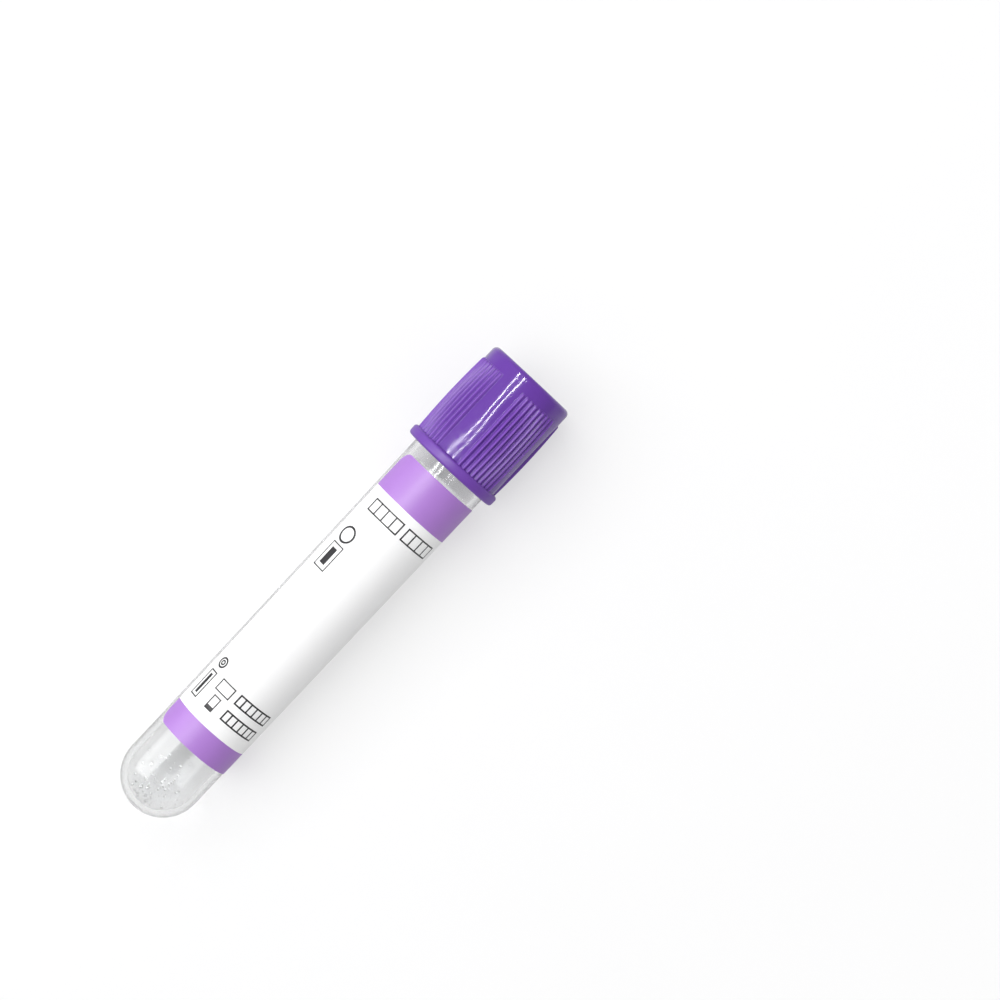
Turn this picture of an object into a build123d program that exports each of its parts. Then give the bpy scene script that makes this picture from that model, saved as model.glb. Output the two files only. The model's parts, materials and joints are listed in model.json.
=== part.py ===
from build123d import *
import os
from math import acos, asin, atan2, cos, degrees, hypot, radians, sin, sqrt, tan

# A capped blood collection tube, lying on its side. "Level" is the distance along the tube from the
# tip of its round end towards the closure. The closure's collar is wider than the round end, so the
# tube rests on both and its axis rises a little towards the closure.
# Angles round the tube run from straight up towards -Y.

# Tube
tube_length = 75.0
mouth_radius = 6.5
base_taper = 0.28
foot_high = 12.0
tube_wall = 1.0
mouth_rounding = 0.25

# Label, a film glued round the tube that leaves a clear strip along it
label_low = 12.3
label_to_collar = 2.1
label_thickness = 0.08
label_start_angle = -67.0
clear_strip_angle = 40.0
label_corner_radius = 1.9

# Cap shield, from its low end: a collar, a plain wall with groups of raised grip ribs, whose crests
# swell a little like a barrel, and a top band. Inside are a skirt over the tube's mouth, an undercut
# for the stopper's flange, a ledge that holds the flange down, and a well above the ledge.
skirt_overlap = 8.3
skirt_wall = 0.84
skirt_rounding = 0.3
collar_height = 1.6
collar_overhang = 0.49
collar_rounding = 0.45
barrel_bulge = 0.19
barrel_taper = 0.02
band_height = 2.6
band_step_depth = 0.2
band_step_height = 0.25
ledge_thickness = 1.1
ledge_width = 1.4
well_depth = 5.3
rim_width = 1.54
rim_outer_rounding = 0.8
rim_inner_rounding = 0.2

# Grip ribs, in groups with a plain panel between each two
rib_groups = 4
ribs_per_group = 9
rib_pitch = 6.75
panel_angle = -12.6
rib_foot_width = 0.66
rib_flank_angle = 19.0
rib_foot_rounding = 0.06
plain_wall_set_back = 0.04
rib_cut_margin = 0.1

# Rubber stopper: a plug with two sealing rings, a flange, and a boss with a dished needle target
plug_length = 6.5
plug_chamfer = 0.5
ring_height = 1.5
ring_relief = 0.25
needle_recess_radius = 2.75
needle_recess_depth = 4.0
needle_recess_rounding = 0.8
flange_height = 3.0
flange_overhang = 0.25
boss_drop = 0.2
target_radius = 2.6
target_depth = 0.6

# Additive dried in droplets on the inner wall near the round end
droplet_count = 18
droplet_radii = (0.55, 0.42, 0.48)
droplet_first_rise = 1.6
droplet_to_label = 0.6
droplet_turn = 137.5
droplet_sunk_share = 0.15

# Clearances
skirt_clearance = 0.12
plug_clearance = 0.03
flange_clearance = 0.08
boss_clearance = 0.08

# Levels that follow
shield_low = tube_length - skirt_overlap
collar_high = shield_low + collar_height
ledge_low = tube_length + flange_height
ledge_high = ledge_low + ledge_thickness
shield_high = ledge_high + well_depth
ribs_high = shield_high - band_height
band_low = ribs_high + band_step_height
label_high = shield_low - label_to_collar
plug_low = tube_length - plug_length
boss_high = ledge_high - boss_drop

# Radii that follow
base_radius = mouth_radius - base_taper
bore_mouth_radius = mouth_radius - tube_wall
bore_base_radius = base_radius - tube_wall
flange_radius = mouth_radius + flange_overhang
undercut_radius = flange_radius + flange_clearance
skirt_radius = mouth_radius + skirt_clearance
barrel_low_radius = skirt_radius + skirt_wall
barrel_high_radius = barrel_low_radius - barrel_taper
barrel_mid_radius = (barrel_low_radius + barrel_high_radius) / 2 + barrel_bulge
collar_radius = barrel_low_radius + collar_overhang
band_radius = barrel_high_radius - band_step_depth
plain_radius = band_radius - plain_wall_set_back
well_radius = band_radius - rim_width
ledge_hole_radius = well_radius - ledge_width
boss_radius = ledge_hole_radius - boss_clearance

# How the tube lies: on its round end and on the collar, which flares a little so that it sits flat. The
# origin is under the middle of the whole length.
collar_reach = shield_low + collar_height / 2 - base_radius
lean = acos(base_radius / hypot(collar_radius, collar_reach)) - atan2(collar_reach, collar_radius)
collar_flare = collar_height / 2 * tan(lean)
back_x = base_radius * cos(lean) - base_radius
rim_reach = shield_high - rim_outer_rounding
rim_drop = band_radius - rim_outer_rounding
front_x = rim_reach * cos(lean) + rim_drop * sin(lean) + rim_outer_rounding

along = Vector(cos(lean), 0, sin(lean))
upward = Vector(-sin(lean), 0, cos(lean))
sideways = Vector(0, -1, 0)
tip = Vector(-(back_x + front_x) / 2, 0, base_radius * (1 - sin(lean)))
tube_axis = Axis(tip, along)


def lengthwise(angle=0):
    """The plane through the tube's axis at an angle round it, with x outward and y along the tube."""
    outward = upward * cos(radians(angle)) + sideways * sin(radians(angle))
    return Plane(origin=tip, x_dir=outward, z_dir=outward.cross(along))


def across(level):
    """The plane square to the tube at a level, with x upward and y towards -Y."""
    return Plane(origin=tip + along * level, x_dir=upward, z_dir=along)


def radius_at(level, mouth, base):
    """The radius at a level of a wall that is parallel above its round end, then widens to the mouth."""
    if level < base_radius:
        return sqrt(base**2 - (base_radius - level) ** 2)
    return base + (mouth - base) * max(level - foot_high, 0) / (tube_length - foot_high)


def bore_at(level):
    return radius_at(level, bore_mouth_radius, bore_base_radius)


def draw_inside(mouth, base):
    """Draws half the section of all that such a wall encloses, up to the mouth."""
    CenterArc((0, base_radius), base, -90, 90)
    Polyline(
        (base, base_radius),
        (base, foot_high),
        (mouth, tube_length),
        (0, tube_length),
        (0, base_radius - base),
    )


def round_corner(sketch, corner, radius):
    fillet(sketch.vertices().sort_by_distance(corner)[0], radius)


# Tube, moulded in one piece with a full round end and a slight draft
with BuildPart() as tube:
    with BuildSketch(lengthwise()) as tube_section:
        with BuildLine():
            draw_inside(mouth_radius, base_radius)
        make_face()
        with BuildLine():
            draw_inside(bore_mouth_radius, bore_base_radius)
        make_face(mode=Mode.SUBTRACT)
        round_corner(tube_section, (mouth_radius, tube_length), mouth_rounding)
        round_corner(tube_section, (bore_mouth_radius, tube_length), mouth_rounding)
    revolve(axis=tube_axis)
tube.part.label = "tube"

# Label, as wide as the wall less the clear strip, with rounded corners
with BuildPart() as label:
    with BuildSketch(lengthwise(label_start_angle)):
        with BuildLine():
            wall_low = radius_at(label_low, mouth_radius, base_radius)
            wall_high = radius_at(label_high, mouth_radius, base_radius)
            Polyline(
                (wall_low, label_low),
                (wall_low + label_thickness, label_low),
                (wall_high + label_thickness, label_high),
                (wall_high, label_high),
                close=True,
            )
        make_face()
    revolve(axis=tube_axis, revolution_arc=360 - clear_strip_angle)
    label_end_angle = label_start_angle + 360 - clear_strip_angle
    for angle, turn_in in ((label_start_angle, -1), (label_end_angle, 1)):
        for level, level_in in ((label_low, 1), (label_high, -1)):
            edge_plane = lengthwise(angle)
            wall_here = radius_at(level, mouth_radius, base_radius)
            corner = edge_plane.from_local_coords((wall_here, level, 0))
            with BuildSketch(Plane(origin=corner, x_dir=along, z_dir=edge_plane.x_dir)):
                Rectangle(2 * label_corner_radius, 2 * label_corner_radius)
                with Locations((level_in * label_corner_radius, turn_in * label_corner_radius)):
                    Circle(label_corner_radius, mode=Mode.SUBTRACT)
            extrude(amount=label_corner_radius, both=True, mode=Mode.SUBTRACT)
label.part.label = "label"

# Additive droplets, lens-shaped where they dried on the bore
droplet_low = tube_wall + droplet_first_rise
droplet_high = label_low - droplet_to_label
with BuildPart() as additive_droplets:
    for number in range(droplet_count):
        radius = droplet_radii[number % len(droplet_radii)]
        share = number / (droplet_count - 1)
        level = droplet_low + share * (droplet_high - droplet_low)
        sunk = droplet_sunk_share * radius / bore_base_radius
        below_centre = max(base_radius - level, 0)
        place = lengthwise(number * droplet_turn)
        middle = place.from_local_coords((bore_at(level) * (1 + sunk), level - below_centre * sunk, 0))
        with Locations(Plane(origin=middle, x_dir=along, z_dir=place.x_dir)):
            Sphere(radius)
    with BuildSketch(lengthwise()):
        with BuildLine():
            draw_inside(bore_mouth_radius, bore_base_radius)
        make_face()
    revolve(axis=tube_axis, mode=Mode.INTERSECT)
additive_droplets.part.label = "additive_droplets"

# One grip rib across its length, from its foot on the plain wall to past the highest crest
rib_reach = barrel_mid_radius - plain_radius + 2 * rib_cut_margin
rib_end_width = rib_foot_width - 2 * rib_reach * tan(radians(rib_flank_angle))
rib_sunk_width = rib_foot_width + 2 * rib_cut_margin * tan(radians(rib_flank_angle))
with BuildSketch() as rib:
    Polygon(
        (-rib_cut_margin, -rib_sunk_width / 2),
        (rib_reach, -rib_end_width / 2),
        (rib_reach, rib_end_width / 2),
        (-rib_cut_margin, rib_sunk_width / 2),
        align=None,
    )

# Cap shield: the skirt runs down over the tube's mouth, the undercut and the ledge hold the
# stopper's flange, and the needle goes in through the well above them
with BuildPart() as cap_shield:
    with BuildSketch(lengthwise()) as shield_section:
        with BuildLine():
            barrel = ThreePointArc(
                (barrel_low_radius, collar_high),
                (barrel_mid_radius, (collar_high + ribs_high) / 2),
                (barrel_high_radius, ribs_high),
            )
            Polyline(
                barrel @ 1,
                (band_radius, band_low),
                (band_radius, shield_high),
                (well_radius, shield_high),
                (well_radius, ledge_high),
                (ledge_hole_radius, ledge_high),
                (ledge_hole_radius, ledge_low),
                (undercut_radius, ledge_low),
                (undercut_radius, tube_length),
                (skirt_radius, tube_length),
                (skirt_radius, shield_low),
                (collar_radius - collar_flare, shield_low),
                (collar_radius + collar_flare, collar_high),
                barrel @ 0,
            )
        make_face()
        round_corner(shield_section, (band_radius, shield_high), rim_outer_rounding)
        round_corner(shield_section, (well_radius, shield_high), rim_inner_rounding)
        round_corner(shield_section, (skirt_radius, shield_low), skirt_rounding)
        for corner in ((collar_radius, shield_low), (collar_radius, collar_high)):
            round_corner(shield_section, corner, collar_rounding)
    revolve(axis=tube_axis)
    with BuildSketch(across(collar_high)) as cut_back:
        Circle(barrel_mid_radius + rib_cut_margin)
        Circle(plain_radius, mode=Mode.SUBTRACT)
        group_turn = 360 / rib_groups
        ribs_turn = (ribs_per_group - 1) * rib_pitch
        for group in range(rib_groups):
            first_angle = panel_angle + (group + 0.5) * group_turn - ribs_turn / 2
            with PolarLocations(plain_radius, ribs_per_group, first_angle, ribs_turn, endpoint=True):
                add(rib.sketch, mode=Mode.SUBTRACT)
        feet = cut_back.vertices().filter_by(lambda corner: corner.center().length < barrel_low_radius)
        fillet(feet, rib_foot_rounding)
    extrude(amount=band_low - collar_high, mode=Mode.SUBTRACT)
cap_shield.part.label = "cap_shield"

# Stopper, turned about the same axis: needle target, boss, flange, plug and needle recess
target_curve = (target_radius**2 + target_depth**2) / (2 * target_depth)
plug_radius = bore_at(plug_low) - plug_clearance
upper_ring_low = tube_length - ring_height
lower_ring_high = plug_low + ring_height
recess_high = plug_low + needle_recess_depth
with BuildPart() as stopper:
    with BuildSketch(lengthwise()) as stopper_section:
        with BuildLine():
            target = CenterArc(
                (0, boss_high - target_depth + target_curve),
                target_curve,
                -90,
                degrees(asin(target_radius / target_curve)),
            )
            Polyline(
                target @ 1,
                (boss_radius, boss_high),
                (boss_radius, ledge_low),
                (flange_radius, ledge_low),
                (flange_radius, tube_length),
                (plug_radius, tube_length),
                (plug_radius, upper_ring_low),
                (plug_radius - ring_relief, upper_ring_low - ring_relief),
                (plug_radius - ring_relief, lower_ring_high + ring_relief),
                (plug_radius, lower_ring_high),
                (plug_radius, plug_low + plug_chamfer),
                (plug_radius - plug_chamfer, plug_low),
                (needle_recess_radius, plug_low),
                (needle_recess_radius, recess_high),
                (0, recess_high),
                target @ 0,
            )
        make_face()
        round_corner(stopper_section, (needle_recess_radius, recess_high), needle_recess_rounding)
    revolve(axis=tube_axis)
stopper.part.label = "stopper"

os.makedirs("parts", exist_ok=True)
for piece in (tube, label, additive_droplets, cap_shield, stopper):
    export_step(piece.part, f"parts/{piece.part.label}.step")
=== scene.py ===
import json
import random
from math import atan2, cos, degrees, pi, radians, sin, sqrt

import bpy
from mathutils import Matrix, Vector


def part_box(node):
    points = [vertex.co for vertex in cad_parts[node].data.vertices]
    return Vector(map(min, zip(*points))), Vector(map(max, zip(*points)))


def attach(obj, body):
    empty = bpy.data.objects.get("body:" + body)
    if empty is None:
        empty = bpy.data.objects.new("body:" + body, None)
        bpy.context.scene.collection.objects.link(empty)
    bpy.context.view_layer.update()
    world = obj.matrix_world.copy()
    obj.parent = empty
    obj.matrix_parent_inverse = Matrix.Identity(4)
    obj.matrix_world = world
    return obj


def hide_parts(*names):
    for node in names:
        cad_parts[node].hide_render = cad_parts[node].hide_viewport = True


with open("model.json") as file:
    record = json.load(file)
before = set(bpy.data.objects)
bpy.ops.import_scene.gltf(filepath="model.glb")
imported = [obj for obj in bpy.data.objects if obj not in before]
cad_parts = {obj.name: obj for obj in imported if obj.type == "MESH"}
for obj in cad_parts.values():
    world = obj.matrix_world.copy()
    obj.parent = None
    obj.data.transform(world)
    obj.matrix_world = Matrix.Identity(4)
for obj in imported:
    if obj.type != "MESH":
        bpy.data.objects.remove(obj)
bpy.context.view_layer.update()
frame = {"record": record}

# Sizes in millimetres and degrees, as in the CAD model. "Level" is the distance along the tube from
# the tip of its round end. Angles round the tube run from straight up towards -Y.
MM = 0.001
TUBE_LENGTH = 75.0
FOOT_HIGH = 12.0
MOUTH_RADIUS = 6.5
TUBE_WALL = 1.0
MOUTH_ROUNDING = 0.25

LABEL_LOW = 12.3
LABEL_HIGH = 64.6
LABEL_THICKNESS = 0.08
LABEL_START = -67.0
LABEL_TURN = 320.0
LABEL_CORNER = 1.9
LOWER_BAND_HIGH = 16.3
UPPER_BAND_LOW = 58.3

SHIELD_LOW = 66.7
COLLAR_HIGH = 68.3
RIBS_HIGH = 81.8
LEDGE_LOW = 78.0
LEDGE_HIGH = 79.1
SHIELD_HIGH = 84.4
SKIRT_RADIUS = 6.62
COLLAR_RADIUS = 7.95
BARREL_LOW_RADIUS = 7.46
BARREL_MID_RADIUS = 7.64
BARREL_HIGH_RADIUS = 7.44
BAND_RADIUS = 7.24
PLAIN_RADIUS = 7.2
UNDERCUT_RADIUS = 6.83
WELL_RADIUS = 5.7
LEDGE_HOLE_RADIUS = 4.3
SKIRT_ROUNDING = 0.3
COLLAR_ROUNDING = 0.45
RIM_OUTER_ROUNDING = 0.8
RIM_INNER_ROUNDING = 0.2

RIB_GROUPS = 4
RIBS_PER_GROUP = 9
RIB_PITCH = 6.75
PANEL_ANGLE = -12.6
BARREL_FOOT_ROUNDING = 0.12
# Half the width of a rib's crest and foot, in pitches, and where the ribs fade into the band.
CREST_REACH = 0.04
FOOT_REACH = 0.42
FADE_BELOW = 0.15
FADE_ABOVE = 0.25
# How much of the painted highlight on a rib's crest the collar has.
COLLAR_PAINTED_HIGHLIGHT = 0.4

PLUG_LOW = 68.5
PLUG_GAP = 0.06
PLUG_CHAMFER = 0.5
RING_HEIGHT = 1.5
RING_RELIEF = 0.25
BOSS_HIGH = 78.9
BOSS_RADIUS = 4.22
FLANGE_RADIUS = 6.75
TARGET_RADIUS = 2.6
TARGET_DEPTH = 0.6
RECESS_RADIUS = 2.75
RECESS_DEPTH = 4.0
RECESS_ROUNDING = 0.8

# The tube's own axes, from the frame: two of the mounts lie on or along its axis, and the round end
# is a ball that just reaches the lowest X of the tube's box.
mounts = {mount["name"]: mount for mount in frame["record"]["mounts"]}
ALONG = Vector(mounts["cap_rim"]["axis"]).normalized()
SIDEWAYS = Vector((0, -1, 0))
UPWARD = SIDEWAYS.cross(ALONG)
BASE_RADIUS = mounts["rack_seat"]["dims"]["r_mm"]
on_axis = Vector(mounts["rack_seat"]["pos_m"])
ball_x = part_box("tube")[0].x + BASE_RADIUS * MM
TIP = on_axis + ALONG * ((ball_x - on_axis.x) / ALONG.x - BASE_RADIUS * MM)


def place(radius, angle, level):
    """The point at a radius, an angle in degrees and a level, in metres in the CAD frame."""
    turn = radians(angle)
    outward = UPWARD * cos(turn) + SIDEWAYS * sin(turn)
    return TIP + (outward * radius + ALONG * level) * MM


def wall_radius(level, mouth=MOUTH_RADIUS, base=BASE_RADIUS):
    """The radius of the tube's wall above its round end."""
    return base + (mouth - base) * max(level - FOOT_HIGH, 0) / (TUBE_LENGTH - FOOT_HIGH)


# Meshes

def make_piece(name, points, faces, body, cad_node, sharp=30):
    """An object from points and faces, riding on a body and standing for a CAD node."""
    mesh = bpy.data.meshes.new(name)
    mesh.from_pydata(points, [], faces)
    mesh.validate()
    mesh.shade_smooth()
    mesh.set_sharp_from_angle(angle=radians(sharp))
    piece = bpy.data.objects.new(name, mesh)
    bpy.context.scene.collection.objects.link(piece)
    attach(piece, body)
    if cad_node:
        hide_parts(cad_node)
    return piece


def arc(centre, radius, start, end, steps):
    """Points (radius, level) along an arc, with its angles measured from straight outward."""
    turns = [radians(start + (end - start) * k / steps) for k in range(steps + 1)]
    return [(centre[0] + radius * cos(t), centre[1] + radius * sin(t)) for t in turns]


def straight(start, end, steps):
    """Points between start and end, without the ends."""
    shares = [k / steps for k in range(1, steps)]
    return [tuple(a + (b - a) * share for a, b in zip(start, end)) for share in shares]


def lathe(outline, angles, radius_of=None):
    """Points and faces of a closed outline of (radius, level) turned about the tube's axis. A point
    on the axis becomes a single vertex. radius_of changes a point's radius with its angle."""
    points, rows = [], []
    for number, (radius, level) in enumerate(outline):
        if radius < 1e-6:
            rows.append([len(points)] * len(angles))
            points.append(place(0, 0, level))
            continue
        rows.append(range(len(points), len(points) + len(angles)))
        for angle in angles:
            here = radius_of(number, radius, level, angle) if radius_of else radius
            points.append(place(here, angle, level))
    faces = []
    closed = outline[0][0] > 1e-6
    for low, high in zip(rows, rows[1:] + ([rows[0]] if closed else [])):
        for k in range(len(angles)):
            after = (k + 1) % len(angles)
            corners = (low[k], low[after], high[after], high[k])
            faces.append(tuple(dict.fromkeys(corners)))
    return points, faces


def even_angles(count):
    return [360 * k / count for k in range(count)]


def tube_outline():
    """The tube's section: up its outside from the tip, round the mouth and down the bore. Also says
    how many of its points lie outside the bore."""
    ball_steps, foot_steps, wall_steps, lip_steps = 28, 6, 40, 5
    bore_mouth, bore_base = MOUTH_RADIUS - TUBE_WALL, BASE_RADIUS - TUBE_WALL
    outside = arc((0, BASE_RADIUS), BASE_RADIUS, -90, 0, ball_steps)
    outside += straight(outside[-1], (BASE_RADIUS, FOOT_HIGH), foot_steps)
    outside += [(BASE_RADIUS, FOOT_HIGH)]
    high = TUBE_LENGTH - MOUTH_ROUNDING
    outer_lip = arc((MOUTH_RADIUS - MOUTH_ROUNDING, high), MOUTH_ROUNDING, 0, 90, lip_steps)
    inner_lip = arc((bore_mouth + MOUTH_ROUNDING, high), MOUTH_ROUNDING, 90, 180, lip_steps)
    outside += straight(outside[-1], outer_lip[0], wall_steps)
    outside += outer_lip + inner_lip
    inside = [(bore_base, FOOT_HIGH)]
    inside += straight(inside[-1], (bore_base, BASE_RADIUS), foot_steps)
    inside += arc((0, BASE_RADIUS), bore_base, 0, -90, ball_steps)
    inside = straight(inner_lip[-1], inside[0], wall_steps) + inside
    return outside + inside, len(outside)


def make_tube():
    """The clear tube, a little rougher in its bore."""
    outline, outside_count = tube_outline()
    angles = even_angles(192)
    points, faces = lathe(outline, angles)
    piece = make_piece("clear_tube", points, faces, "tube", "tube", 60)
    piece.data.materials.append(clear_plastic("clear_plastic", 0.1, 0.13))
    piece.data.materials.append(clear_plastic("clear_plastic_bore", 0.11, 0.15))
    for face in piece.data.polygons:
        face.material_index = int(face.index >= (outside_count - 1) * len(angles))
    return piece


# Label

def label_columns():
    """Angles across the label, closer together at its rounded edges."""
    corner_steps, middle_steps = 12, 120
    corner_turn = degrees(LABEL_CORNER / MOUTH_RADIUS)
    middle_turn = LABEL_TURN - 2 * corner_turn
    near = [corner_turn * (1 - cos(pi / 2 * k / corner_steps)) for k in range(corner_steps)]
    middle = [corner_turn + middle_turn * k / middle_steps for k in range(middle_steps + 1)]
    return near + middle + [LABEL_TURN - turn for turn in reversed(near)]


def corner_lift(turn):
    """How far the label's ends draw in at its rounded corners."""
    from_edge = min(turn, LABEL_TURN - turn)
    short = max(LABEL_CORNER - radians(from_edge) * MOUTH_RADIUS, 0)
    return LABEL_CORNER - sqrt(max(LABEL_CORNER**2 - short**2, 0))


def make_label():
    """The label, a thin closed sheet. Its two bands and its glued side have their own looks."""
    film_look, band_look, back_look = range(3)
    columns = label_columns()
    band_steps, middle_steps = 5, 24
    points, faces, looks = [], [], []
    row_count = 2 * band_steps + middle_steps + 1
    for out in (LABEL_THICKNESS, 0):
        for turn in columns:
            low, high = LABEL_LOW + corner_lift(turn), LABEL_HIGH - corner_lift(turn)
            levels = [low + (LOWER_BAND_HIGH - low) * k / band_steps for k in range(band_steps)]
            step = (UPPER_BAND_LOW - LOWER_BAND_HIGH) / middle_steps
            levels += [LOWER_BAND_HIGH + step * k for k in range(middle_steps)]
            levels += [
                UPPER_BAND_LOW + (high - UPPER_BAND_LOW) * k / band_steps
                for k in range(band_steps + 1)
            ]
            for level in levels:
                points.append(place(wall_radius(level) + out, LABEL_START + turn, level))

    def at(side, column, row):
        return (side * len(columns) + column) * row_count + row

    last_column, last_row = len(columns) - 1, row_count - 1
    for column in range(last_column):
        for row in range(last_row):
            outer = [at(0, column, row), at(0, column + 1, row)]
            outer += [at(0, column + 1, row + 1), at(0, column, row + 1)]
            faces.append(outer)
            faces.append([corner + at(1, 0, 0) for corner in reversed(outer)])
            in_band = row < band_steps or row >= band_steps + middle_steps
            looks += [band_look if in_band else film_look, back_look]
        for row, flip in ((0, 1), (last_row, -1)):
            side = [at(0, column, row), at(1, column, row)]
            side += [at(1, column + 1, row), at(0, column + 1, row)]
            faces.append(side[::flip])
            looks.append(film_look)
    for row in range(last_row):
        for column, flip in ((0, -1), (last_column, 1)):
            side = [at(0, column, row), at(1, column, row)]
            side += [at(1, column, row + 1), at(0, column, row + 1)]
            faces.append(side[::flip])
            looks.append(film_look)
    piece = make_piece("wrap_label", points, faces, "tube", "label", 40)
    piece.data.materials.append(label_film())
    piece.data.materials.append(printed_film("lavender_print", LAVENDER))
    piece.data.materials.append(label_back())
    for face, look in zip(piece.data.polygons, looks):
        face.material_index = look
    return piece


# Cap shield

GROUP_TURN = 360 / RIB_GROUPS


def rib_angles():
    """Angles round the shield, closer together across the ribs than across the plain panels."""
    rib_steps, panel_steps = 14 * RIBS_PER_GROUP, 16
    ribbed_turn = RIBS_PER_GROUP * RIB_PITCH
    panel_turn = GROUP_TURN - ribbed_turn
    angles = []
    for group in range(RIB_GROUPS):
        start = PANEL_ANGLE + (group + 0.5) * GROUP_TURN - ribbed_turn / 2
        angles += [start + ribbed_turn * k / rib_steps for k in range(rib_steps)]
        angles += [start + ribbed_turn + panel_turn * k / panel_steps for k in range(panel_steps)]
    return angles


def smooth(low, high, value):
    """A soft step from 0 at low to 1 at high."""
    share = min(max((value - low) / (high - low), 0), 1)
    return share * share * (3 - 2 * share)


def rib_share(angle):
    """How high a rib stands at an angle, from 1 on its crest to 0 on the plain wall."""
    from_middle = (angle - PANEL_ANGLE) % GROUP_TURN - GROUP_TURN / 2
    half = (RIBS_PER_GROUP - 1) / 2
    place_in_group = from_middle / RIB_PITCH + half
    nearest = min(max(round(place_in_group), 0), RIBS_PER_GROUP - 1)
    return 1 - smooth(CREST_REACH, FOOT_REACH, abs(place_in_group - nearest))


def barrel_radius(level):
    """The barrel's slightly swollen wall: a parabola through its low, middle and high radii."""
    share = (level - COLLAR_HIGH) / (RIBS_HIGH - COLLAR_HIGH)
    line = BARREL_LOW_RADIUS + (BARREL_HIGH_RADIUS - BARREL_LOW_RADIUS) * share
    bulge = BARREL_MID_RADIUS - (BARREL_LOW_RADIUS + BARREL_HIGH_RADIUS) / 2
    return line + bulge * 4 * share * (1 - share)


def shield_outline():
    """The shield's section as a closed loop, and which of its points lie on the ribbed barrel. The
    collar's wall flares with the tube's lean, so that it sits flat."""
    flare = ((COLLAR_HIGH - SHIELD_LOW) / 2 - COLLAR_ROUNDING) * ALONG.z / ALONG.x
    low_centre = (COLLAR_RADIUS - flare - COLLAR_ROUNDING, SHIELD_LOW + COLLAR_ROUNDING)
    high_centre = (COLLAR_RADIUS + flare - COLLAR_ROUNDING, COLLAR_HIGH - COLLAR_ROUNDING)
    collar = arc(low_centre, COLLAR_ROUNDING, -90, 0, 6)
    collar += arc(high_centre, COLLAR_ROUNDING, 0, 80, 6)
    ribbed_low = COLLAR_HIGH + BARREL_FOOT_ROUNDING
    foot_centre = (PLAIN_RADIUS + BARREL_FOOT_ROUNDING, ribbed_low)
    foot = arc(foot_centre, BARREL_FOOT_ROUNDING, 265, 180, 4)
    barrel_steps, fade_steps, fade_step = 36, 13, 0.05
    fade_low = RIBS_HIGH - FADE_BELOW
    barrel_height = fade_low - ribbed_low
    levels = [ribbed_low + barrel_height * k / barrel_steps for k in range(1, barrel_steps + 1)]
    levels += [fade_low + fade_step * k for k in range(1, fade_steps + 1)]
    ribbed = [(barrel_radius(level), level) for level in levels]
    rim_centre = (BAND_RADIUS - RIM_OUTER_ROUNDING, SHIELD_HIGH - RIM_OUTER_ROUNDING)
    rim = arc(rim_centre, RIM_OUTER_ROUNDING, 0, 90, 10)
    band = straight((BAND_RADIUS, levels[-1]), rim[0], 5)
    well_centre = (WELL_RADIUS + RIM_INNER_ROUNDING, SHIELD_HIGH - RIM_INNER_ROUNDING)
    well = arc(well_centre, RIM_INNER_ROUNDING, 90, 180, 5)
    skirt_centre = (SKIRT_RADIUS + SKIRT_ROUNDING, SHIELD_LOW + SKIRT_ROUNDING)
    inside = [
        (WELL_RADIUS, LEDGE_HIGH),
        (LEDGE_HOLE_RADIUS, LEDGE_HIGH),
        (LEDGE_HOLE_RADIUS, LEDGE_LOW),
        (UNDERCUT_RADIUS, LEDGE_LOW),
        (UNDERCUT_RADIUS, TUBE_LENGTH),
        (SKIRT_RADIUS, TUBE_LENGTH),
    ]
    skirt = arc(skirt_centre, SKIRT_ROUNDING, 180, 270, 5)
    before = collar + foot
    outline = before + ribbed + band + rim + well + inside + skirt
    return outline, range(len(collar), len(before) + len(ribbed))


def make_shield():
    """The ribbed shield. Each vertex of its barrel and collar carries a painted highlight for its
    colour: the rib's height on the barrel, a share on the collar.
    """
    outline, ribbed = shield_outline()
    angles = rib_angles()
    painted_highlights = {}

    def ribbed_radius(number, radius, level, angle):
        if number not in ribbed:
            return radius
        towards_band = smooth(RIBS_HIGH - 2, RIBS_HIGH + 0.3, level)
        plain = PLAIN_RADIUS + (BAND_RADIUS - PLAIN_RADIUS) * towards_band
        if level <= COLLAR_HIGH + BARREL_FOOT_ROUNDING:
            plain = radius
        rib_end = 1 - smooth(RIBS_HIGH - FADE_BELOW, RIBS_HIGH + FADE_ABOVE, level)
        crest = barrel_radius(min(max(level, COLLAR_HIGH), RIBS_HIGH))
        height = rib_share(angle) * rib_end
        # The rib's height also sets how much painted highlight lightens its colour.
        painted_highlights[number * len(angles) + angles.index(angle)] = height
        return plain + max(crest - plain, 0) * height

    points, faces = lathe(outline, angles, ribbed_radius)
    piece = make_piece("ribbed_shield", points, faces, "closure", "cap_shield", 35)
    piece.data.materials.append(cap_plastic("cap_plastic_gloss", 0.09, 0.13, 0.46, 0.28, 0.1))
    piece.data.materials.append(cap_plastic("cap_plastic_grip", 0.34, 0.42, 0.4, 0.06, 0.05))
    # The collar gets part of the crests' painted highlight.
    for number in range(ribbed.start):
        for column in range(len(angles)):
            painted_highlights[number * len(angles) + column] = COLLAR_PAINTED_HIGHLIGHT
    # The painted highlight goes to the shader as a vertex value; faces that have any get the grip
    # material.
    crest = piece.data.attributes.new("painted_crest_highlight", "FLOAT", "POINT")
    for vertex, height in painted_highlights.items():
        crest.data[vertex].value = height
    for face in piece.data.polygons:
        face.material_index = int(any(crest.data[corner].value > 0 for corner in face.vertices))
    return piece


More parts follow.
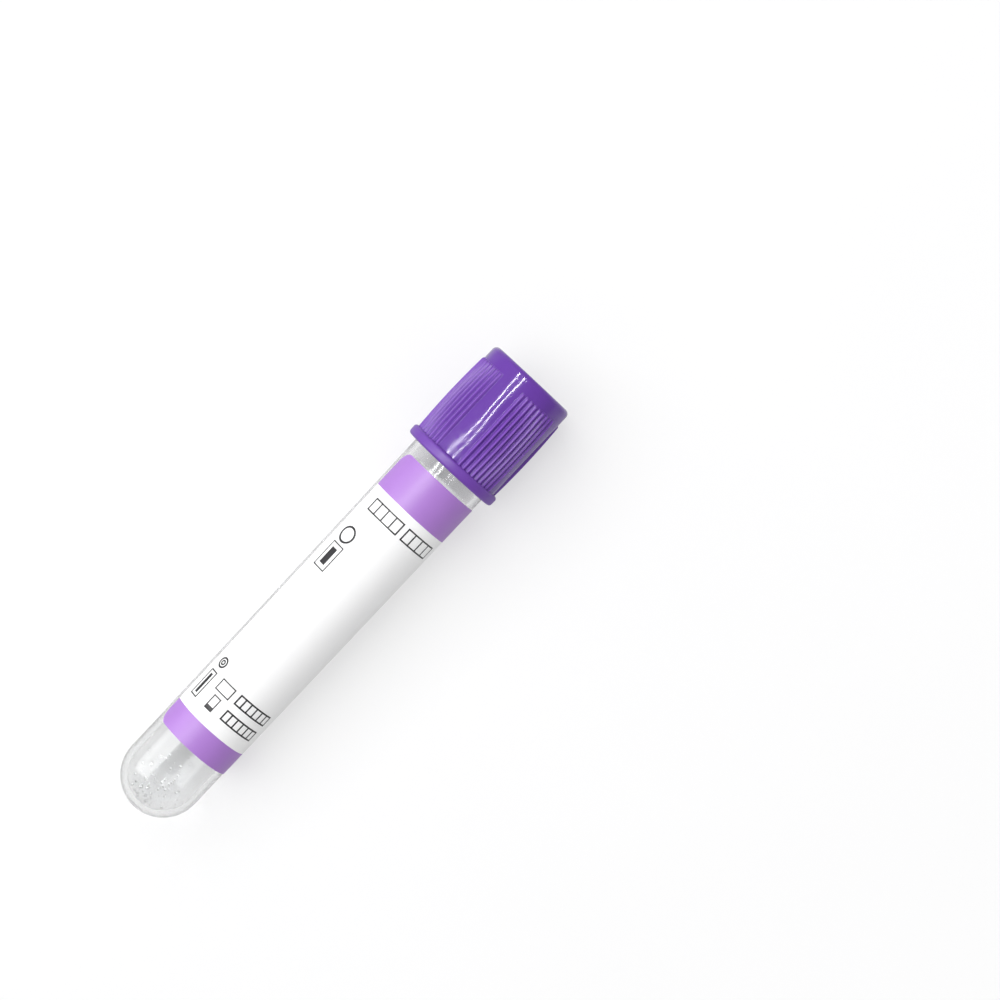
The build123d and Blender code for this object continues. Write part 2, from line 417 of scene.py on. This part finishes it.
def make_stopper():
    """The stopper: dished target, boss, flange, plug with two sealing rings, and needle recess."""
    plug_radius = MOUTH_RADIUS - TUBE_WALL - PLUG_GAP
    curve = (TARGET_RADIUS**2 + TARGET_DEPTH**2) / (2 * TARGET_DEPTH)
    dish_turn = degrees(atan2(TARGET_RADIUS, curve - TARGET_DEPTH))
    target = arc((0, BOSS_HIGH - TARGET_DEPTH + curve), curve, -90, -90 + dish_turn, 10)
    recess_high = PLUG_LOW + RECESS_DEPTH
    ring_high = PLUG_LOW + RING_HEIGHT
    recess_centre = (RECESS_RADIUS - RECESS_ROUNDING, recess_high - RECESS_ROUNDING)
    outline = target + [
        (BOSS_RADIUS, BOSS_HIGH),
        (BOSS_RADIUS, LEDGE_LOW),
        (FLANGE_RADIUS, LEDGE_LOW),
        (FLANGE_RADIUS, TUBE_LENGTH),
        (plug_radius, TUBE_LENGTH),
        (plug_radius, TUBE_LENGTH - RING_HEIGHT),
        (plug_radius - RING_RELIEF, TUBE_LENGTH - RING_HEIGHT - RING_RELIEF),
        (plug_radius - RING_RELIEF, ring_high + RING_RELIEF),
        (plug_radius, ring_high),
        (plug_radius, PLUG_LOW + PLUG_CHAMFER),
        (plug_radius - PLUG_CHAMFER, PLUG_LOW),
        (RECESS_RADIUS, PLUG_LOW),
    ] + arc(recess_centre, RECESS_ROUNDING, 0, 90, 8) + [(0, recess_high)]
    points, faces = lathe(outline, even_angles(128))
    faces = [face[::-1] for face in faces]
    piece = make_piece("rubber_stopper", points, faces, "closure", "stopper")
    piece.data.materials.append(stopper_rubber())
    return piece


# Dried additive

BEAD_FLATNESS = 0.75
BEAD_GAP = 0.005


def add_bead(points, faces, angle, level, size):
    """One flattened droplet that hangs on the bore, near the round end."""
    bore_radius = BASE_RADIUS - TUBE_WALL
    below = max(BASE_RADIUS - level, 0)
    ring = sqrt(max(bore_radius**2 - below**2, 0))
    foot = place(ring, angle, level)
    middle = TIP + ALONG * (max(level, BASE_RADIUS) * MM)
    inward = (middle - foot).normalized()
    across = inward.orthogonal().normalized()
    other = inward.cross(across)
    depth = size * BEAD_FLATNESS
    centre = foot + inward * ((depth + BEAD_GAP) * MM)
    round_steps, rise_steps = 14, 8
    first = len(points)
    points.append(centre - inward * (depth * MM))
    for rise in range(1, rise_steps):
        turn = pi * rise / rise_steps
        for k in range(round_steps):
            spin = 2 * pi * k / round_steps
            outward = across * cos(spin) + other * sin(spin)
            reach = outward * (size * sin(turn)) - inward * (depth * cos(turn))
            points.append(centre + reach * MM)
    points.append(centre + inward * (depth * MM))
    for k in range(round_steps):
        after = (k + 1) % round_steps
        faces.append((first, first + 1 + after, first + 1 + k))
        for rise in range(rise_steps - 2):
            low = first + 1 + rise * round_steps
            faces.append((low + k, low + after, low + round_steps + after, low + round_steps + k))
        low = first + 1 + (rise_steps - 2) * round_steps
        faces.append((low + k, low + after, len(points) - 1))


def make_additive():
    """Fine droplets sprayed on the bore, denser towards the tip: a few large, many small, and two
    clusters of large ones."""
    draw = random.Random(7)
    points, faces = [], []
    # How many, their least and largest radius, the levels and the angles that they spread over.
    for count, least, most, low, high, middle, spread in (
        (44, 0.14, 0.23, 2.0, 10.5, 6, 34),
        (90, 0.06, 0.12, 1.8, 10.0, 6, 34),
        (260, 0.03, 0.06, 1.4, 7.0, 6, 34),
        (12, 0.17, 0.26, 5.8, 8.4, 18, 9),
        (10, 0.16, 0.24, 3.4, 5.0, -6, 7),
    ):
        for _ in range(count):
            level = low + (high - low) * draw.random() ** 1.2
            angle = draw.choice((0, 0, 0, 180)) + draw.gauss(middle, spread)
            add_bead(points, faces, angle, level, draw.uniform(least, most))
    piece = make_piece("dried_additive", points, faces, "tube", "additive_droplets", 60)
    piece.data.materials.append(additive_salt())
    return piece


# Generic printed marks

INK_LIFT = 0.012
INK_STEP = 0.35


def patch(points, faces, left, right, low, high):
    """A rectangle of ink on the label, from one arc position to another, in millimetres."""
    steps = max(round((right - left) / INK_STEP), 1)
    first = len(points)
    for k in range(steps + 1):
        angle = degrees((left + (right - left) * k / steps) / MOUTH_RADIUS)
        for level in (low, high):
            radius = wall_radius(level) + LABEL_THICKNESS + INK_LIFT
            points.append(place(radius, angle, level))
    for k in range(steps):
        here = first + 2 * k
        faces.append((here, here + 2, here + 3, here + 1))


def box_outline(points, faces, left, right, low, high, line=0.18):
    """A box drawn with a line of ink."""
    patch(points, faces, left, right, low, low + line)
    patch(points, faces, left, right, high - line, high)
    patch(points, faces, left, left + line, low + line, high - line)
    patch(points, faces, right - line, right, low + line, high - line)


def comb(points, faces, left, right, low, high, cells, line):
    """A row of write-in cells that share their sides."""
    box_outline(points, faces, left, right, low, high, line)
    width = (right - left) / cells
    for k in range(1, cells):
        middle = left + width * k
        patch(points, faces, middle - line / 2, middle + line / 2, low + line, high - line)


def disc_outline(points, faces, middle, level, radius, line):
    """A ring of ink on the label."""
    steps = 36
    first = len(points)
    for k in range(steps):
        spin = 2 * pi * k / steps
        for reach in (radius, radius - line):
            angle = degrees((middle + reach * cos(spin)) / MOUTH_RADIUS)
            here = level + reach * sin(spin)
            points.append(place(wall_radius(here) + LABEL_THICKNESS + INK_LIFT, angle, here))
    for k in range(steps):
        here, after = first + 2 * k, first + 2 * ((k + 1) % steps)
        faces.append((here, after, after + 1, here + 1))


def make_marks():
    """Plain boxes and rings where a label carries its heading, symbols and codes. Their places are
    millimetres round the label from its top line, and levels."""
    points, faces = [], []
    comb(points, faces, -5.1, 1.0, 54.7, 56.9, 4, 0.22)
    comb(points, faces, 1.8, 7.9, 54.7, 56.9, 4, 0.22)
    disc_outline(points, faces, -4.5, 50.1, 1.42, 0.32)
    box_outline(points, faces, -5.7, -3.2, 43.8, 48.3)
    patch(points, faces, -5.0, -3.9, 44.6, 47.5)
    disc_outline(points, faces, -5.25, 24.55, 0.9, 0.28)
    disc_outline(points, faces, -5.25, 24.55, 0.44, 0.24)
    box_outline(points, faces, -6.25, -4.6, 18.2, 22.9, 0.2)
    patch(points, faces, -5.7, -5.15, 18.8, 22.3)
    box_outline(points, faces, -3.2, -0.4, 21.2, 23.15, 0.2)
    box_outline(points, faces, -2.5, -1.07, 18.25, 20.65, 0.2)
    patch(points, faces, -2.5, -1.07, 18.25, 18.95)
    comb(points, faces, 0.5, 7.3, 21.45, 23.25, 6, 0.24)
    comb(points, faces, 0.5, 7.3, 18.5, 20.3, 6, 0.24)
    piece = make_piece("label_marks", points, faces, "tube", None)
    piece.data.materials.append(printed_film("black_print", INK))
    return piece


# Materials

LAVENDER = (0.408, 0.197, 0.618, 1)
INK = (0.012, 0.011, 0.014, 1)


class Shader:
    """A new material's node tree, with short ways to add and join nodes."""

    def __init__(self, name):
        self.material = bpy.data.materials.new(name)
        self.material.use_nodes = True
        self.tree = self.material.node_tree
        self.surface = self.tree.nodes["Principled BSDF"]
        self.output = self.tree.nodes["Material Output"]

    def node(self, kind, **settings):
        made = self.tree.nodes.new("ShaderNode" + kind)
        for key, value in settings.items():
            setattr(made, key, value)
        return made

    def give(self, target, source):
        """Gives an input a value, or joins it to an output."""
        if isinstance(source, bpy.types.NodeSocket):
            self.tree.links.new(source, target)
        else:
            target.default_value = source

    def set(self, **sources):
        """Gives inputs of the surface, written with _ for a space, a value or an output."""
        for key, source in sources.items():
            self.give(self.surface.inputs[key.replace("_", " ")], source)

    def position(self, scale=(1, 1, 1), turned=True):
        """Object coordinates in millimetres, turned to run along the tube."""
        mapping = self.node("Mapping")
        if turned:
            mapping.inputs["Rotation"].default_value = (0, atan2(ALONG.z, ALONG.x), 0)
        mapping.inputs["Scale"].default_value = [1000 * s for s in scale]
        self.give(mapping.inputs["Vector"], self.node("TexCoord").outputs["Object"])
        return mapping.outputs["Vector"]

    def noise(self, vector, scale, detail=3.0, roughness=0.5):
        made = self.node("TexNoise")
        made.inputs["Scale"].default_value = scale
        made.inputs["Detail"].default_value = detail
        made.inputs["Roughness"].default_value = roughness
        self.give(made.inputs["Vector"], vector)
        return made.outputs["Fac"]

    def spread(self, value, low, high):
        """A 0 to 1 value spread from low to high."""
        made = self.node("MapRange")
        made.inputs["To Min"].default_value = low
        made.inputs["To Max"].default_value = high
        self.give(made.inputs["Value"], value)
        return made.outputs["Result"]

    def ramp(self, value, start, end, low=0, high=1):
        """A soft step from low, where the value is at start, to high, where it is at end."""
        made = self.node("MapRange", interpolation_type="SMOOTHSTEP")
        made.inputs["From Min"].default_value = start
        made.inputs["From Max"].default_value = end
        made.inputs["To Min"].default_value = low
        made.inputs["To Max"].default_value = high
        self.give(made.inputs["Value"], value)
        return made.outputs["Result"]

    def mixed(self, share, first, second, kind="FLOAT"):
        """A number between two numbers or outputs."""
        made = self.node("Mix", data_type=kind)
        self.give(made.inputs["Factor"], share)
        self.give(made.inputs["A"], first)
        self.give(made.inputs["B"], second)
        return made.outputs["Result"]

    def tinted(self, share, first, second):
        """A colour between two colours or outputs."""
        return self.mixed(share, first, second, "RGBA")

    def layered(self, share, first, second):
        """A mix of two shaders."""
        made = self.node("MixShader")
        self.give(made.inputs["Fac"], share)
        self.give(made.inputs[1], first)
        self.give(made.inputs[2], second)
        return made.outputs["Shader"]

    def straight_through(self, colour):
        """A shader that lets light straight through and tints it."""
        made = self.node("BsdfTransparent")
        made.inputs["Color"].default_value = colour
        return made.outputs["BSDF"]

    def facing(self):
        """0 where the surface faces the ray, 1 where the ray grazes it."""
        return self.node("LayerWeight").outputs["Facing"]

    def bump(self, height, distance_mm, strength=1.0, under=None):
        made = self.node("Bump")
        made.inputs["Strength"].default_value = strength
        made.inputs["Distance"].default_value = distance_mm * MM
        self.give(made.inputs["Height"], height)
        if under:
            self.give(made.inputs["Normal"], under)
        return made.outputs["Normal"]


def clear_plastic(name, least_rough, most_rough):
    """Clear plastic with a dull gate mark at the tip. Its outline is softened: there it lets part
    of the light straight through. Its shadow is pale."""
    shader = Shader(name)
    from_tip = shader.node("VectorMath", operation="DISTANCE")
    from_tip.inputs[1].default_value = TIP
    shader.give(from_tip.inputs[0], shader.node("TexCoord").outputs["Object"])
    gate = shader.ramp(from_tip.outputs["Value"], 1.1 * MM, 1.6 * MM, 1, 0)
    haze = shader.noise(shader.position(), 0.6, 4)
    swirl = shader.noise(shader.position((0.05, 1, 1)), 0.12, 0)
    shader.set(
        Base_Color=shader.tinted(gate, (0.985, 0.99, 0.99, 1), (0.7, 0.7, 0.71, 1)),
        Roughness=shader.mixed(gate, shader.spread(haze, least_rough, most_rough), 0.5),
        Normal=shader.bump(swirl, 0.01),
        Transmission_Weight=1.0,
        IOR=1.5,
    )
    edge = shader.ramp(shader.facing(), 0.65, 0.95, 0, 0.6)
    outline = shader.straight_through((0.97, 0.97, 0.97, 1))
    softened = shader.layered(edge, shader.surface.outputs["BSDF"], outline)
    shadow_ray = shader.node("LightPath").outputs["Is Shadow Ray"]
    shadow = shader.straight_through((0.89, 0.89, 0.895, 1))
    shader.give(shader.output.inputs["Surface"], shader.layered(shadow_ray, softened, shadow))
    return shader.material


def film(shader, low, high):
    """A satin film's fine unevenness in gloss and relief. Returns the clouds in its gloss."""
    where = shader.position()
    cloud = shader.noise(where, 0.35, 5, 0.6)
    wave = shader.noise(shader.position((0.3, 1, 1)), 0.5, 2)
    grain = shader.bump(shader.noise(where, 9.0, 3), 0.004, 0.5)
    shader.set(
        Roughness=shader.spread(cloud, low, high),
        Normal=shader.bump(wave, 0.02, 0.6, grain),
    )
    return cloud


def label_film():
    """The label's white film, with a faint painted glow that stands in for the light that comes
    through it.
    """
    shader = Shader("label_film")
    cloud = film(shader, 0.34, 0.42)
    shader.set(
        Base_Color=shader.tinted(cloud, (0.85, 0.85, 0.855, 1), (0.88, 0.88, 0.88, 1)),
        Specular_IOR_Level=0.45,
        # A painted glow, standing in for light that comes through the film.
        Emission_Color=(1, 1, 1, 1),
        Emission_Strength=0.07,
    )
    return shader.material


def label_back():
    """The film's glued side, with a stronger painted glow that stands in for the light coming
    through the film.
    """
    shader = Shader("label_back")
    cloud = film(shader, 0.5, 0.6)
    shader.set(
        Base_Color=shader.tinted(cloud, (0.86, 0.86, 0.865, 1), (0.9, 0.9, 0.9, 1)),
        # A painted glow that lights the inside of the tube behind the label.
        Emission_Color=(1, 1, 1, 1),
        Emission_Strength=0.22,
    )
    return shader.material


def printed_film(name, colour):
    shader = Shader(name)
    cloud = film(shader, 0.34, 0.42)
    darker = [channel * 0.94 for channel in colour[:3]] + [1]
    shader.set(Base_Color=shader.tinted(cloud, darker, colour), Specular_IOR_Level=0.45)
    return shader.material


def cap_plastic(name, least_rough, most_rough, shine, waviness, dulling):
    """Moulded purple plastic, with a painted highlight that lightens the ribs' crests and the
    collar, and a few pits.
    It gets duller in patches towards the collar."""
    shader = Shader(name)
    where = shader.position()
    cloud = shader.noise(where, 0.3, 4, 0.6)
    # The shield's vertex value is a painted highlight, full on the ribs' crests and part on the
    # collar.
    crest = shader.node("Attribute", attribute_name="painted_crest_highlight").outputs["Fac"]
    plain = shader.tinted(cloud, (0.114, 0.031, 0.313, 1), (0.124, 0.037, 0.338, 1))
    # A lighter copy of the purple, painted where the highlight falls.
    painted_highlight_colour = shader.tinted(cloud, (0.185, 0.062, 0.43, 1), (0.2, 0.07, 0.455, 1))
    split = shader.node("SeparateXYZ")
    shader.give(split.inputs["Vector"], where)
    towards_collar = shader.ramp(split.outputs["X"], 36, 28)
    patches = shader.ramp(shader.noise(where, 0.9, 2), 0.4, 0.6, dulling * 0.2, dulling)
    rough = shader.node("Math", operation="MULTIPLY_ADD")
    shader.give(rough.inputs[0], towards_collar)
    shader.give(rough.inputs[1], patches)
    shader.give(rough.inputs[2], shader.spread(cloud, least_rough, most_rough))
    dents = shader.node("TexVoronoi", feature="F1")
    dents.inputs["Scale"].default_value = 1.1
    shader.give(dents.inputs["Vector"], where)
    pits = shader.bump(shader.ramp(dents.outputs["Distance"], 0, 0.22), 0.01)
    wave = shader.noise(shader.position((0.7, 1, 1)), 0.25, 0.5, 0.4)
    shader.set(
        Base_Color=shader.tinted(crest, plain, painted_highlight_colour),
        Roughness=rough.outputs["Value"],
        Normal=shader.bump(wave, waviness, 1.0, pits),
        IOR=1.5,
        Specular_IOR_Level=shine,
    )
    return shader.material


def stopper_rubber():
    """Dark matt rubber."""
    shader = Shader("stopper_rubber")
    where = shader.position()
    cloud = shader.noise(where, 1.2, 5, 0.6)
    shader.set(
        Base_Color=shader.tinted(cloud, (0.045, 0.043, 0.05, 1), (0.07, 0.067, 0.075, 1)),
        Roughness=shader.spread(cloud, 0.55, 0.8),
        Normal=shader.bump(shader.noise(where, 14.0, 2), 0.01, 0.6),
    )
    return shader.material


def additive_salt():
    """Dried droplets, pale where they face the ray, with painted shade that darkens their rims
    where the ray grazes them.
    """
    shader = Shader("additive_salt")
    cloud = shader.noise(shader.position(), 5.0, 3)
    # Painted shade: the colour darkens towards each droplet's rim, where the ray grazes it.
    rim = shader.ramp(shader.facing(), 0.15, 0.6)
    shader.set(
        Base_Color=shader.tinted(rim, (0.95, 0.95, 0.955, 1), (0.22, 0.22, 0.225, 1)),
        Roughness=shader.spread(cloud, 0.12, 0.2),
        Normal=shader.bump(cloud, 0.01),
        Transmission_Weight=0.4,
        IOR=1.4,
    )
    return shader.material


def floor_paper():
    """Pale paper with a glow that makes it white. The glow is weaker in reflections, in the light
    it casts and through the clear plastic, and there it fades where the object shades the paper."""
    shader = Shader("floor_paper")
    cloud = shader.noise(shader.position(turned=False), 0.02, 3)
    occlusion = shader.node("AmbientOcclusion", samples=4)
    occlusion.inputs["Distance"].default_value = 0.012
    open_sky = occlusion.outputs["AO"]
    path = shader.node("LightPath").outputs
    bounced = shader.spread(open_sky, 0.05, 0.38)
    through_plastic = shader.spread(open_sky, 0.07, 0.48)
    unseen = shader.mixed(path["Is Transmission Ray"], bounced, through_plastic)
    shader.set(
        Base_Color=shader.tinted(cloud, (0.35, 0.35, 0.352, 1), (0.366, 0.366, 0.368, 1)),
        Roughness=0.9,
        Specular_IOR_Level=0.1,
        Emission_Color=(1, 1, 1, 1),
        Emission_Strength=shader.mixed(path["Is Camera Ray"], unseen, 0.57),
    )
    return shader.material


# Stage

def make_floor():
    """A square of paper, three metres across."""
    half = 1.5
    corners = [(-half, -half, 0), (half, -half, 0), (half, half, 0), (-half, half, 0)]
    mesh = bpy.data.meshes.new("floor")
    mesh.from_pydata(corners, [], [(0, 1, 2, 3)])
    mesh.materials.append(floor_paper())
    floor = bpy.data.objects.new("floor", mesh)
    bpy.context.scene.collection.objects.link(floor)


def add_light(name, direction, size, power, target):
    """An area light a metre from a point, aimed at it from a direction."""
    light = bpy.data.lights.new(name, "AREA")
    light.shape = "RECTANGLE"
    light.size, light.size_y = size
    light.energy = power
    lamp = bpy.data.objects.new(name, light)
    away = Vector(direction).normalized()
    lamp.location = target + away
    side = Vector((1, 0, 0))
    side = (side - away * side.dot(away)).normalized()
    turn = Matrix((side, away.cross(side), away)).transposed()
    lamp.rotation_euler = turn.to_euler()
    bpy.context.scene.collection.objects.link(lamp)
    return lamp


def from_above(angle):
    """A direction that leans from straight up towards the label's clear strip."""
    return (0, sin(radians(angle)), cos(radians(angle)))


def make_lights():
    """Two thin tubes and a soft panel that only make highlights, and a broad key that only lights,
    in a room that is brighter towards the clear strip, and brightest through the clear plastic."""
    target = place(0, 0, TUBE_LENGTH)
    over_label = target + Vector((0.147, 0, 0))
    over_cap = target + Vector((0.17, 0, 0))
    over_end = target - Vector((0.43, 0, 0))
    for lamp in (
        add_light("tube_outer", from_above(28), (0.65, 0.03), 4.0, over_label),
        add_light("tube_inner", from_above(13), (0.6, 0.03), 3.0, over_cap),
        add_light("soft_panel", from_above(52), (0.6, 1.0), 6.0, over_end),
    ):
        lamp.visible_diffuse = False
    key = add_light("key", from_above(30), (1.3, 1.0), 11.1, target)
    key.visible_glossy = False
    key.visible_transmission = False
    world = bpy.data.worlds.new("room")
    world.use_nodes = True
    nodes, links = world.node_tree.nodes, world.node_tree.links
    background = nodes["Background"]
    direction = nodes.new("ShaderNodeTexCoord")
    split = nodes.new("ShaderNodeSeparateXYZ")
    grade = nodes.new("ShaderNodeMapRange")
    grade.interpolation_type = "SMOOTHSTEP"
    grade.inputs["From Min"].default_value = -0.5
    grade.inputs["From Max"].default_value = 0.8
    grade.inputs["To Min"].default_value = 0.46
    grade.inputs["To Max"].default_value = 0.66
    links.new(direction.outputs["Generated"], split.inputs["Vector"])
    links.new(split.outputs["Y"], grade.inputs["Value"])
    path = nodes.new("ShaderNodeLightPath")
    strength = nodes.new("ShaderNodeMix")
    strength.inputs["B"].default_value = 0.87
    links.new(path.outputs["Is Transmission Ray"], strength.inputs["Factor"])
    links.new(grade.outputs["Result"], strength.inputs["A"])
    links.new(strength.outputs["Result"], background.inputs["Strength"])
    background.inputs["Color"].default_value = (1, 1, 1, 1)
    bpy.context.scene.world = world
    bpy.context.scene.view_settings.view_transform = "Standard"


def make_camera():
    """Straight down from above the collar's top, a little to the side, with the tube aslant."""
    camera = bpy.data.cameras.new("camera")
    camera.sensor_width = 36
    camera.lens = 118
    height, aside, turn = 0.480, 0.0084, 46.9
    eye = bpy.data.objects.new("camera", camera)
    below = place(0, 0, COLLAR_HIGH + 0.15)
    eye.location = (below.x, -aside, height)
    eye.rotation_euler = (0, 0, -radians(turn))
    bpy.context.scene.collection.objects.link(eye)
    bpy.context.scene.camera = eye


make_tube()
make_label()
make_marks()
make_shield()
make_stopper()
make_additive()
make_floor()
make_lights()
make_camera()
